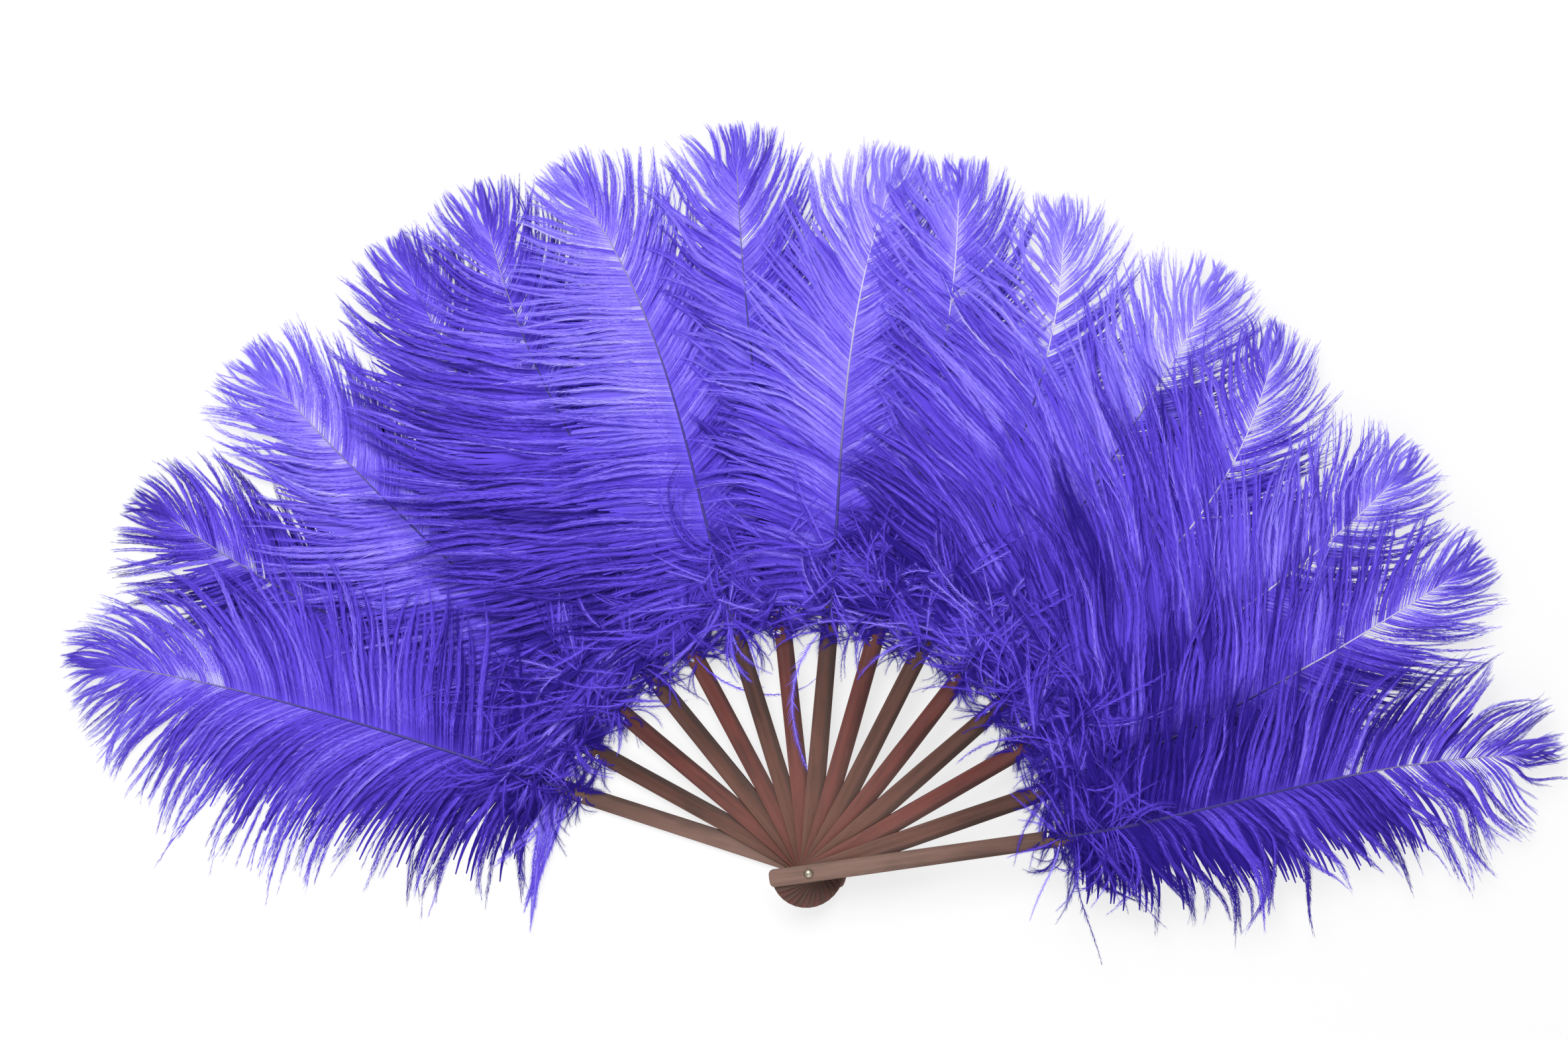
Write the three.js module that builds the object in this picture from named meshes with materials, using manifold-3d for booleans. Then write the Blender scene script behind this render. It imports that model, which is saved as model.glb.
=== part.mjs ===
// Folding feather fan: wooden staves that turn on one rivet, each carrying one ostrich plume.
// Millimetres, +Z up. The fan lies open on its back. The rivet's axis is Z, and its rear end is at z = 0.
// Every stave keeps to one level of the stack, and the plumes sag in step, so that the fan can fold.
import * as THREE from 'three';
import { mergeVertices } from 'three/addons/utils/BufferGeometryUtils.js';
import Module from 'manifold-3d';

const wasm = await Module();
wasm.setup();

// Fan
const STAVE_COUNT = 15; // both guards included
const OPEN_ANGLE = 154; // degrees between the guards' centre lines
const REAR_ANGLE = 162; // degrees from +X to the rear guard

// Staves and guards
const STAVE_THICKNESS = 2.4;
const GUARD_THICKNESS = 3.0;
const STAVE_REACH = 190; // pivot to the end under the plume
const STAVE_BUTT = 26; // pivot to the bare end
const GUARD_BUTT = 27.8;
const PIVOT_WIDTH = 12.5;
const BELLY_WIDTH = 13.8; // the widest place
const BELLY_REACH = 75; // pivot to the widest place
const END_WIDTH = 12.2;
const BUTT_CORNER = 3.5; // radius
const GUARD_CHAMFER = 0.5;
const TIE_HOLE_DIAMETER = 3.4;
const TIE_HOLE_WALL = 1.2; // from the hole to the stave's left edge
const TIE_HOLE_BELOW = 5; // from the quill's foot down to the hole's centre
const EDGE_STEPS = 4; // segments of each curve in a stave's outline
const HOLE_SIDES = 16;

// Rivet
const PIN_DIAMETER = 3.4;
const HEAD_OVERHANG = 1.0; // of the domed head past the pin
const HEAD_RIM = 0.4; // straight edge under the dome
const DOME_HEIGHT = 1.4;
const REAR_HEAD_OVERHANG = 1.2;
const REAR_HEAD_HEIGHT = 0.9;
const REAR_HEAD_ROUND = 0.3;
const WASHER_RIM = 1.4; // of a washer past its hole
const WASHER_THICKNESS = 0.5;
const STACK_GAP = 0.3; // between pieces stacked on the rivet
const BORE_CLEARANCE = 0.3; // between the pin and each bore
const ROUND_SIDES = 24;
const DOME_STEPS = 5;

// Plumes
const QUILL_SEAT = 16; // length of the quill's foot in its seat on the stave
const QUILL_WIDTH = 3.0;
const QUILL_HEIGHT = 1.2;
const SEAT_CLEARANCE = 0.3; // between the quill and its seat, and from the stave's end to the vane
const RACHIS_TIP_WIDTH = 0.8;
const VANE_THICKNESS = 1.2; // beside the rachis, at the foot of the vane
const VANE_EDGE = 0.4; // thickness of the barbs' ends and of the vane's tip
const VANE_STEPS = 24; // pairs of barbs in the loft
const LOCK_DEPTH = 0.07; // share by which the barbs clump into longer and shorter locks
const FOOT_BARB = 58; // barb lengths, from the foot of the vane to its tip
const LOW_BARB = 98;
const LOWER_BARB = 106;
const UPPER_BARB = 101;
const HIGH_BARB = 78;
const TIP_BARB = 10;
const BARB_ANGLES = [118, 74, 64, 59, 51, 19]; // degrees from the rachis, at the same six places
const PLUME_LENGTH = 335; // the stave's end to the tip of a plume of the common growth
const SAG = 0.5; // share of its stave's height that a plume has sunk by at that length
const TWIST_REACH = 625; // how far to its left a plume would have risen by that whole height
// Each plume's bow and lean to the left of its stave, in degrees past its middle and at its tip, and growth.
const PLUMES = [
  { bow: -0.4, lean: 1.8, growth: 1.05 },
  { bow: 2.3, lean: 0.2, growth: 1.05 },
  { bow: -0.4, lean: -2.3, growth: 1.04 },
  { bow: -2.4, lean: -5.2, growth: 1.02 },
  { bow: 2.5, lean: -1.6, growth: 1.03 },
  { bow: -3.2, lean: 1.7, growth: 1.01 },
  { bow: 0.8, lean: -0.2, growth: 1.0 },
  { bow: 2.0, lean: -1.9, growth: 0.96 },
  { bow: 0.2, lean: 3.4, growth: 0.96 },
  { bow: -0.8, lean: 5.1, growth: 0.95 },
  { bow: 1.6, lean: 2.9, growth: 0.97 },
  { bow: -2.3, lean: 6.8, growth: 0.96 },
  { bow: 0.5, lean: 3.6, growth: 0.99 },
  { bow: 3.3, lean: 5.5, growth: 1.0 },
  { bow: 3.7, lean: 1.2, growth: 1.03 },
];

// Finishes
const WOODS = [
  { color: 0x7a4640, roughness: 0.55, metalness: 0 },
  { color: 0x5a4740, roughness: 0.55, metalness: 0 },
];
const GUARD_WOOD = { color: 0x6b5348, roughness: 0.5, metalness: 0 };
const FEATHER = { color: 0x5840d6, roughness: 0.85, metalness: 0 };
const NICKEL = { color: 0xb9b2a2, roughness: 0.3, metalness: 1 };

const PIN_RADIUS = PIN_DIAMETER / 2;
const BORE_RADIUS = PIN_RADIUS + BORE_CLEARANCE;
const SEAT_DEPTH = QUILL_HEIGHT + SEAT_CLEARANCE;
const QUILL_FOOT = STAVE_REACH - QUILL_SEAT; // pivot to the cut end of the quill
const TIE_HOLE_REACH = QUILL_FOOT - TIE_HOLE_BELOW;
const TIE_HOLE_OFFSET = (END_WIDTH - TIE_HOLE_DIAMETER) / 2 - TIE_HOLE_WALL;
const BARB_LENGTHS = [FOOT_BARB, LOW_BARB, LOWER_BARB, UPPER_BARB, HIGH_BARB, TIP_BARB];
const VANE_FOOT = STAVE_REACH + SEAT_CLEARANCE + QUILL_WIDTH; // pivot to the lowest barbs

const radians = THREE.MathUtils.degToRad;
const flat = (x, y) => new THREE.Vector2(x, y);

/** Makes a closed solid of a geometry, for cutting. */
function solidOf(geometry) {
  const bare = geometry.clone();
  bare.deleteAttribute('normal');
  bare.deleteAttribute('uv');
  const merged = mergeVertices(bare, 1e-4);
  return new wasm.Manifold(new wasm.Mesh({
    numProp: 3,
    vertProperties: merged.attributes.position.array,
    triVerts: Uint32Array.from(merged.index.array),
  }));
}

/** Makes a geometry of a closed solid. */
function geometryOf(solid) {
  const { vertProperties, triVerts } = solid.getMesh();
  return indexedGeometry(vertProperties, Array.from(triVerts));
}

/** Makes a geometry of a flat list of coordinates and a list of triangle corners. */
function indexedGeometry(coordinates, corners) {
  const geometry = new THREE.BufferGeometry();
  geometry.setAttribute('position', new THREE.Float32BufferAttribute(coordinates, 3));
  geometry.setIndex(corners);
  geometry.computeVertexNormals();
  return geometry;
}

/** Reads a list of values, given at equal steps, at a share of the way along it. */
function valueAlong(values, share) {
  const curve = new THREE.SplineCurve(values.map((value, step) => flat(step, value)));
  return curve.getPoint(share).y;
}

/** A named mesh in its own finish. */
function piece(name, geometry, finish) {
  const mesh = new THREE.Mesh(geometry, new THREE.MeshStandardMaterial(finish));
  mesh.name = name;
  return mesh;
}

/** A round hole in an outline. */
function roundHole(x, y, radius) {
  const points = [];
  for (let side = 0; side < HOLE_SIDES; side += 1) {
    const turn = (2 * Math.PI * side) / HOLE_SIDES;
    points.push(flat(x + radius * Math.cos(turn), y + radius * Math.sin(turn)));
  }
  return new THREE.Path(points);
}

/** A stave's outline along +X: rounded end, slight belly, and a butt that is an arc about the pivot. */
function staveOutline(butt) {
  const pivotHalf = PIVOT_WIDTH / 2;
  const bellyHalf = BELLY_WIDTH / 2;
  const endHalf = END_WIDTH / 2;
  const endX = STAVE_REACH - endHalf;
  const lowerMiddle = BELLY_REACH / 2;
  const upperMiddle = (BELLY_REACH + endX) / 2;
  const cornerY = pivotHalf - BUTT_CORNER;
  const cornerX = -Math.sqrt((butt - BUTT_CORNER) ** 2 - cornerY ** 2);
  const cornerTurn = Math.atan2(cornerY, cornerX);
  const outline = new THREE.Shape();
  outline.moveTo(0, -pivotHalf);
  outline.bezierCurveTo(lowerMiddle, -pivotHalf, lowerMiddle, -bellyHalf, BELLY_REACH, -bellyHalf);
  outline.bezierCurveTo(upperMiddle, -bellyHalf, upperMiddle, -endHalf, endX, -endHalf);
  outline.absarc(endX, 0, endHalf, -Math.PI / 2, Math.PI / 2, false);
  outline.bezierCurveTo(upperMiddle, endHalf, upperMiddle, bellyHalf, BELLY_REACH, bellyHalf);
  outline.bezierCurveTo(lowerMiddle, bellyHalf, lowerMiddle, pivotHalf, 0, pivotHalf);
  outline.absarc(cornerX, cornerY, BUTT_CORNER, Math.PI / 2, cornerTurn, false);
  outline.absarc(0, 0, butt, cornerTurn, 2 * Math.PI - cornerTurn, false);
  outline.absarc(cornerX, -cornerY, BUTT_CORNER, 2 * Math.PI - cornerTurn, 1.5 * Math.PI, false);
  return outline;
}

/** A stave with its rivet bore, its tie hole, and a seat for the quill in its front face. */
function staveGeometry(thickness, butt, chamfer) {
  const points = staveOutline(butt).getPoints(EDGE_STEPS);
  const shape = new THREE.Shape(points.filter((point, i) => point.distanceTo(points.at(i - 1)) > 1e-6));
  shape.holes.push(roundHole(0, 0, BORE_RADIUS));
  shape.holes.push(roundHole(TIE_HOLE_REACH, TIE_HOLE_OFFSET, TIE_HOLE_DIAMETER / 2));
  const blank = new THREE.ExtrudeGeometry(shape, {
    depth: thickness - 2 * chamfer,
    bevelEnabled: chamfer > 0,
    bevelThickness: chamfer,
    bevelSize: chamfer,
    bevelOffset: -chamfer,
    bevelSegments: 1,
  });
  blank.translate(0, 0, chamfer);
  const seatStart = QUILL_FOOT - SEAT_CLEARANCE;
  const seatLength = VANE_FOOT - seatStart;
  const seat = new THREE.BoxGeometry(seatLength, QUILL_WIDTH + 2 * SEAT_CLEARANCE, 2 * SEAT_DEPTH);
  seat.translate(seatStart + seatLength / 2, 0, thickness);
  return geometryOf(solidOf(blank).subtract(solidOf(seat)));
}

/** The rachis seen from the front: straight out of its seat, then by its bow to its lean at the tip. */
function rachisCurve({ bow, lean, growth }) {
  const tipReach = STAVE_REACH + PLUME_LENGTH * growth - TIP_BARB;
  const third = (tipReach - QUILL_FOOT) / 3;
  const turnedBy = (degrees, reach) => flat(reach, 0).rotateAround(flat(0, 0), radians(degrees));
  return new THREE.CubicBezierCurve(
    flat(QUILL_FOOT, 0),
    flat(QUILL_FOOT + third, 0),
    turnedBy(bow, tipReach - third),
    turnedBy(lean, tipReach),
  );
}

/** How far a plume on a stave at a height lies above the stave's own level: it sags and it twists. */
function settling(x, y, height) {
  const past = Math.max(0, Math.hypot(x, y) - STAVE_REACH) / PLUME_LENGTH;
  return height * (y / TWIST_REACH - SAG * past);
}

/** One ring of the loft: round the front from the left edge to the right one, and back behind. */
function vaneRing(middle, left, right, ridge, heights) {
  const ridgeLeft = middle.clone().addScaledVector(ridge, 0.5);
  const ridgeRight = middle.clone().addScaledVector(ridge, -0.5);
  const leftMiddle = ridgeLeft.clone().lerp(left, 0.5);
  const rightMiddle = ridgeRight.clone().lerp(right, 0.5);
  return [
    [left, heights.edgeFront],
    [leftMiddle, heights.front],
    [ridgeLeft, heights.front],
    [middle, heights.ridge],
    [ridgeRight, heights.front],
    [rightMiddle, heights.front],
    [right, heights.edgeFront],
    [right, heights.edgeBack],
    [middle, heights.back],
    [left, heights.edgeBack],
  ].map(([point, height]) => [point.x, point.y, height]);
}

/** Closes a row of rings into one solid, with a point before the first and one past the last. */
function loft(rings, firstPoint, lastPoint) {
  const size = rings[0].length;
  const points = [...rings.flat(), firstPoint, lastPoint];
  const last = (rings.length - 1) * size;
  const before = rings.length * size;
  const span = (a, b) => Math.hypot(...points[a].map((value, axis) => value - points[b][axis]));
  const corners = [];
  for (let i = 0; i < size; i += 1) {
    const next = (i + 1) % size;
    corners.push(before, next, i);
    corners.push(before + 1, last + i, last + next);
    for (let ring = 0; ring < last; ring += size) {
      const [a, b, c, d] = [ring + i, ring + next, ring + size + next, ring + size + i];
      // The shorter diagonal keeps the facets inside the outline where the barbs sweep back.
      corners.push(...(span(b, d) < span(a, c) ? [a, b, d, b, c, d] : [a, b, c, a, c, d]));
    }
  }
  return indexedGeometry(points.flat(), corners);
}

/** A plume: a tapering rachis with barbs that sweep back at its foot and forward at its tip. */
function plumeGeometry(plume, thickness, height) {
  const curve = rachisCurve(plume);
  const middleHeight = thickness / 2;
  const quillHeights = {
    ridge: thickness,
    front: thickness - QUILL_HEIGHT / 4,
    edgeFront: thickness - QUILL_HEIGHT / 2,
    edgeBack: thickness - (3 * QUILL_HEIGHT) / 4,
    back: thickness - QUILL_HEIGHT,
  };
  const quillRing = (reach) => vaneRing(
    flat(reach, 0), flat(reach, QUILL_WIDTH / 2), flat(reach, -QUILL_WIDTH / 2),
    flat(0, QUILL_WIDTH / 2), quillHeights,
  );
  const rings = [quillRing(QUILL_FOOT), quillRing(STAVE_REACH + SEAT_CLEARANCE)];
  const vaneStart = (VANE_FOOT - QUILL_FOOT) / curve.getLength();
  for (let step = 0; step <= VANE_STEPS; step += 1) {
    const share = step / VANE_STEPS;
    const along = vaneStart + (1 - vaneStart) * share;
    const middle = curve.getPointAt(along);
    const forward = curve.getTangentAt(along);
    const lock = step % 2 ? 1 + LOCK_DEPTH : 1 - LOCK_DEPTH;
    const length = valueAlong(BARB_LENGTHS, share) * (step < VANE_STEPS ? lock : 1);
    const angle = radians(valueAlong(BARB_ANGLES, share));
    const barb = (side) => forward.clone()
      .rotateAround(flat(0, 0), side * angle).multiplyScalar(length).add(middle);
    const ridge = flat(-forward.y, forward.x)
      .multiplyScalar(THREE.MathUtils.lerp(QUILL_WIDTH, RACHIS_TIP_WIDTH, share));
    const half = THREE.MathUtils.lerp(VANE_THICKNESS, VANE_EDGE, share) / 2;
    rings.push(vaneRing(middle, barb(1), barb(-1), ridge, {
      ridge: THREE.MathUtils.lerp(thickness, middleHeight + VANE_EDGE, share),
      front: middleHeight + half,
      edgeFront: middleHeight + VANE_EDGE / 2,
      edgeBack: middleHeight - VANE_EDGE / 2,
      back: middleHeight - half,
    }));
  }
  const tip = curve.getTangentAt(1).multiplyScalar(TIP_BARB).add(curve.getPointAt(1));
  const foot = [QUILL_FOOT, 0, thickness - QUILL_HEIGHT / 2];
  const settled = ([x, y, z]) => [x, y, z + settling(x, y, height)];
  return loft(rings.map((ring) => ring.map(settled)), settled(foot), settled([tip.x, tip.y, middleHeight]));
}

/** Turns a profile of [radius, height] about Z. */
function turned(profile) {
  const geometry = new THREE.LatheGeometry(profile.map(([radius, z]) => flat(radius, z)), ROUND_SIDES);
  return geometry.rotateX(Math.PI / 2);
}

/** A washer round the pin, with its rear face at a height. */
function washerGeometry(z) {
  const rim = BORE_RADIUS + WASHER_RIM;
  const top = z + WASHER_THICKNESS;
  return turned([[BORE_RADIUS, z], [rim, z], [rim, top], [BORE_RADIUS, top], [BORE_RADIUS, z]]);
}

/** The rivet: a flat rear head, the pin, and a domed front head that starts at a height. */
function rivetGeometry(headZ) {
  const rear = PIN_RADIUS + REAR_HEAD_OVERHANG;
  const head = PIN_RADIUS + HEAD_OVERHANG;
  const profile = [
    [0, 0],
    [rear - REAR_HEAD_ROUND, 0],
    [rear, REAR_HEAD_ROUND],
    [rear, REAR_HEAD_HEIGHT],
    [PIN_RADIUS, REAR_HEAD_HEIGHT],
    [PIN_RADIUS, headZ],
    [head, headZ],
  ];
  for (let step = 0; step < DOME_STEPS; step += 1) {
    const turn = (Math.PI / 2) * (step / DOME_STEPS);
    profile.push([head * Math.cos(turn), headZ + HEAD_RIM + DOME_HEIGHT * Math.sin(turn)]);
  }
  profile.push([0, headZ + HEAD_RIM + DOME_HEIGHT]);
  return turned(profile);
}

const fan = new THREE.Group();
const twoDigits = (number) => String(number).padStart(2, '0');
let level = REAR_HEAD_HEIGHT + STACK_GAP;
fan.add(piece('rear_washer', washerGeometry(level), NICKEL));
level += WASHER_THICKNESS + STACK_GAP;

for (let i = 0; i < STAVE_COUNT; i += 1) {
  const isRear = i === 0;
  const isGuard = isRear || i === STAVE_COUNT - 1;
  const thickness = isGuard ? GUARD_THICKNESS : STAVE_THICKNESS;
  const guardName = isRear ? 'rear_guard' : 'front_guard';
  const stave = isGuard
    ? piece(guardName, staveGeometry(thickness, GUARD_BUTT, GUARD_CHAMFER), GUARD_WOOD)
    : piece(`stave_${twoDigits(i + 1)}`, staveGeometry(thickness, STAVE_BUTT, 0), WOODS[i % WOODS.length]);
  const plume = plumeGeometry(PLUMES[i % PLUMES.length], thickness, level);
  const arm = new THREE.Group();
  arm.add(stave, piece(`plume_${twoDigits(i + 1)}`, plume, FEATHER));
  arm.position.z = level;
  arm.rotation.z = radians(REAR_ANGLE - (OPEN_ANGLE * i) / (STAVE_COUNT - 1));
  fan.add(arm);
  level += thickness + STACK_GAP;
}

fan.add(piece('front_washer', washerGeometry(level), NICKEL));
level += WASHER_THICKNESS + STACK_GAP;
fan.add(piece('rivet', rivetGeometry(level), NICKEL));

export default fan;
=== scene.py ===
"""Dresses a folding fan: fifteen dyed ostrich plumes on stained wooden staves round one domed rivet."""
import logging
import math
from dataclasses import dataclass, field
from enum import Enum
from typing import Union

import bpy
import numpy as np
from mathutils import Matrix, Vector


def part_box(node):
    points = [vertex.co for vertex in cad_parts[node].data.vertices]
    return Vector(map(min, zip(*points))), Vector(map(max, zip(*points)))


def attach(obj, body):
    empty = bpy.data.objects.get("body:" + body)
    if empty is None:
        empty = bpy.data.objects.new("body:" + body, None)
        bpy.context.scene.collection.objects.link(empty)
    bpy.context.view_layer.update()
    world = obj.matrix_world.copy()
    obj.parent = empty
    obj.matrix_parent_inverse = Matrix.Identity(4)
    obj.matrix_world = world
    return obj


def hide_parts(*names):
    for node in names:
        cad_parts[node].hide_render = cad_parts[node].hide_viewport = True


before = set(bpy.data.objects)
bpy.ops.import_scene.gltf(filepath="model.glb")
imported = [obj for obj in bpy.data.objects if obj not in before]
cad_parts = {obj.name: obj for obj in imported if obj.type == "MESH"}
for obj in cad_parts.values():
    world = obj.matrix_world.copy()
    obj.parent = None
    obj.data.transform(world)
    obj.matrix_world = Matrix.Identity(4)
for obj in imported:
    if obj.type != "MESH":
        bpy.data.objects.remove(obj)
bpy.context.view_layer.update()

MM = 0.001
LOG = logging.getLogger("feather_fan")

# The open fan, as the frame has it
STAVE_COUNT = 15
REAR_ANGLE = 162.0
OPEN_ANGLE = 154.0

Socket = bpy.types.NodeSocket
Colour = tuple[float, float, float]
Grain = tuple[float, float, float]
Range = tuple[float, float]
Profile = list[tuple[float, float]]
Number = Union["Value", Socket, float]

# Each plume's own map: a cell to a barb, and a last row for its quill, with their half widths as shares
PLUME_MAP = "OFBake"
MAP_COLUMNS = 256
MAP_ROWS = 8
MAP_MARGIN = 0.04
MAP_REACH = 0.92
BARB_HALF = 0.42
QUILL_HALF = 0.46
TONE = "tone"

# Corners nearer than this are one, in a piece and in a plume
MERGE = 0.002 * MM
WELD = 0.0005 * MM
FIRST_SEED = 4100


def stave_angle(index: int) -> float:
    """Gives a stave's heading at rest, in degrees, counted from the rear guard."""
    return REAR_ANGLE - OPEN_ANGLE * index / (STAVE_COUNT - 1)


def linear(red: int, green: int, blue: int) -> Colour:
    """Turns a screen colour, 0 to 255, into the linear one that shaders take."""
    shares = (red / 255.0, green / 255.0, blue / 255.0)
    return tuple(c / 12.92 if c <= 0.04045 else ((c + 0.055) / 1.055) ** 2.4 for c in shares)


def eased(low: float, high: float, x: np.ndarray) -> np.ndarray:
    """Rises smoothly from 0 at low to 1 at high."""
    share = np.clip((x - low) / (high - low), 0.0, 1.0)
    return share * share * (3.0 - 2.0 * share)


def fading(low: float, high: float, x: np.ndarray) -> np.ndarray:
    """Falls smoothly from 1 at low to 0 at high."""
    return 1.0 - eased(low, high, x)


def headings(runs: np.ndarray) -> tuple[np.ndarray, np.ndarray]:
    """Finds which way runs of points head.

    Args:
        runs: Points by run and along it.

    Returns:
        The unit vectors ahead, and the level ones to the left.
    """
    ahead = np.gradient(runs, axis=1)
    left = np.stack([-ahead[..., 1], ahead[..., 0], np.zeros_like(ahead[..., 0])], axis=-1)
    return tuple(way / (np.linalg.norm(way, axis=-1, keepdims=True) + 1e-12) for way in (ahead, left))


def steps_along(bearing: np.ndarray, step: np.ndarray) -> np.ndarray:
    """Gives steps of a length along bearings, seen from above."""
    return np.stack([np.cos(bearing) * step, np.sin(bearing) * step], axis=-1)


def points_at(flat: np.ndarray, height: np.ndarray) -> np.ndarray:
    """Joins places seen from above and heights into points."""
    return np.concatenate([flat, height[..., None]], axis=-1)


def in_cell(cell: np.ndarray, across: float, along: np.ndarray) -> np.ndarray:
    """Places corners in their barbs' cells of a plume's map.

    Args:
        cell: The barbs' cells.
        across: Where they lie across a cell, from -1 to 1.
        along: How far along the barbs they are, from 0 to 1.

    Returns:
        The places on the map.
    """
    row, column = np.divmod(cell, MAP_COLUMNS)
    u = (column + 0.5 + BARB_HALF * across) / MAP_COLUMNS
    v = (row + MAP_MARGIN + MAP_REACH * np.clip(along, 0.0, 1.0)) / MAP_ROWS
    return np.stack(np.broadcast_arrays(u, v), axis=-1)


class Value:
    """A number that changes over a surface: sums on it add Math nodes."""

    def __init__(self, surface: "Surface", socket: Socket) -> None:
        """Wraps a socket of a surface's node tree."""
        self.surface = surface
        self.socket = socket

    def _math(self, operation: str, first: Number, second: Number = 0.0) -> "Value":
        """Adds one Math node and gives its result."""
        return self.surface.value("ShaderNodeMath", {"operation": operation}, {0: first, 1: second})

    def __add__(self, other: Number) -> "Value":
        """Adds."""
        return self._math("ADD", self, other)

    __radd__ = __add__

    def __sub__(self, other: Number) -> "Value":
        """Takes away."""
        return self._math("SUBTRACT", self, other)

    def __rsub__(self, other: Number) -> "Value":
        """Is taken away from a number."""
        return self._math("SUBTRACT", other, self)

    def __mul__(self, other: Number) -> "Value":
        """Multiplies."""
        return self._math("MULTIPLY", self, other)

    __rmul__ = __mul__

    def __abs__(self) -> "Value":
        """Drops the sign."""
        return self._math("ABSOLUTE", self)

    def fraction(self) -> "Value":
        """Keeps what is past the whole number."""
        return self._math("FRACT", self)

    def between(self, low: float, high: float) -> "Value":
        """Rises smoothly from 0 at low to 1 at high."""
        sockets = {"Value": self, "From Min": low, "From Max": high}
        return self.surface.value("ShaderNodeMapRange", {"interpolation_type": "SMOOTHSTEP"}, sockets)


class Surface:
    """A node material under way, round one Principled shader."""

    def __init__(self, name: str, **constants: object) -> None:
        """Starts a material.

        Args:
            name: The material's name.
            **constants: Values of the shader's own sockets, with _ for a space.
        """
        self.material = bpy.data.materials.new(name)
        self.material.use_nodes = True
        self.tree = self.material.node_tree
        self.shader = self.tree.nodes["Principled BSDF"]
        for socket, value in constants.items():
            self.shader.inputs[socket.replace("_", " ")].default_value = value

    def node(self, kind: str, settings: dict | None = None, sockets: dict | None = None) -> bpy.types.Node:
        """Adds a node.

        Args:
            kind: The node's type.
            settings: Its properties, which are set first.
            sockets: Values or links of its inputs, by name or number.

        Returns:
            The new node.
        """
        made = self.tree.nodes.new(kind)
        for setting, value in (settings or {}).items():
            setattr(made, setting, value)
        for socket, value in (sockets or {}).items():
            self.feed(made.inputs[socket], value)
        return made

    def value(self, kind: str, settings: dict, sockets: dict | None = None, output: int | str = 0) -> Value:
        """Adds a node and gives one of its outputs as a number."""
        return Value(self, self.node(kind, settings, sockets).outputs[output])

    def feed(self, target: Socket, value: object) -> None:
        """Links a value to a socket, or sets it there.

        Args:
            target: The socket that takes it.
            value: A Value, a socket, a colour or a number.
        """
        if isinstance(value, Value):
            value = value.socket
        if isinstance(value, Socket):
            self.tree.links.new(value, target)
        elif target.type == "RGBA":
            target.default_value = (*value, 1.0)
        else:
            target.default_value = value

    def mix(self, share: Number, first: object, second: object) -> Socket:
        """Mixes two colours, or sockets that give them, by the share of the second one."""
        return self.node("ShaderNodeMix", {"data_type": "RGBA"}, {0: share, 6: first, 7: second}).outputs[2]

    def split(self, vector: Socket) -> tuple[Value, Value, Value]:
        """Gives a vector's three numbers."""
        outputs = self.node("ShaderNodeSeparateXYZ", None, {0: vector}).outputs
        return tuple(Value(self, part) for part in outputs)

    def on_map(self) -> tuple[Value, Value]:
        """Gives the place on a plume's own map, across and up it."""
        return self.split(self.node("ShaderNodeUVMap", {"uv_map": PLUME_MAP}).outputs[0])[:2]

    def along(self, angle: float, grain: Grain) -> Socket:
        """Gives the place on a piece that lies at an angle, in lengths of its own grain.

        Args:
            angle: The piece's heading, in degrees.
            grain: Length of a grain mark along, across and through the piece, in metres.

        Returns:
            A vector socket.
        """
        place = self.node("ShaderNodeTexCoord").outputs["Object"]
        sockets = {"Vector": place, "Rotation": (0.0, 0.0, math.radians(angle)), "Scale": grain}
        return self.node("ShaderNodeMapping", {"vector_type": "TEXTURE"}, sockets).outputs[0]

    def attribute(self, name: str) -> Value:
        """Reads a number that the mesh itself carries."""
        return self.value("ShaderNodeAttribute", {"attribute_name": name}, output="Fac")

    def marks(self, angle: float, grain: Grain, detail: float, seed: float = 0.0) -> Value:
        """Gives soft noise that runs along a piece.

        Args:
            angle: The piece's heading, in degrees.
            grain: Length of a mark along, across and through the piece, in metres.
            detail: How many finer layers the noise has.
            seed: Sets one piece's noise apart from another's.

        Returns:
            The noise, about 0 to 1.
        """
        place = self.along(angle, grain)
        sockets = {"Vector": place, "W": seed, "Scale": 1.0, "Detail": detail, "Roughness": 0.6}
        return self.value("ShaderNodeTexNoise", {"noise_dimensions": "4D"}, sockets)

    def finish(self, colour: object, roughness: Number | None = None, bump: Number | None = None,
               depth: float = 0.0) -> bpy.types.Material:
        """Feeds the shader and ends the material.

        Args:
            colour: The base colour.
            roughness: The roughness, where it changes.
            bump: The surface's height, 0 to 1.
            depth: What a height of 1 is, in metres.

        Returns:
            The material.
        """
        self.feed(self.shader.inputs["Base Color"], colour)
        if roughness is not None:
            self.feed(self.shader.inputs["Roughness"], roughness)
        if bump is not None:
            sockets = {"Height": bump, "Distance": depth}
            self.feed(self.shader.inputs["Normal"], self.node("ShaderNodeBump", None, sockets).outputs[0])
        return self.material


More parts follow.
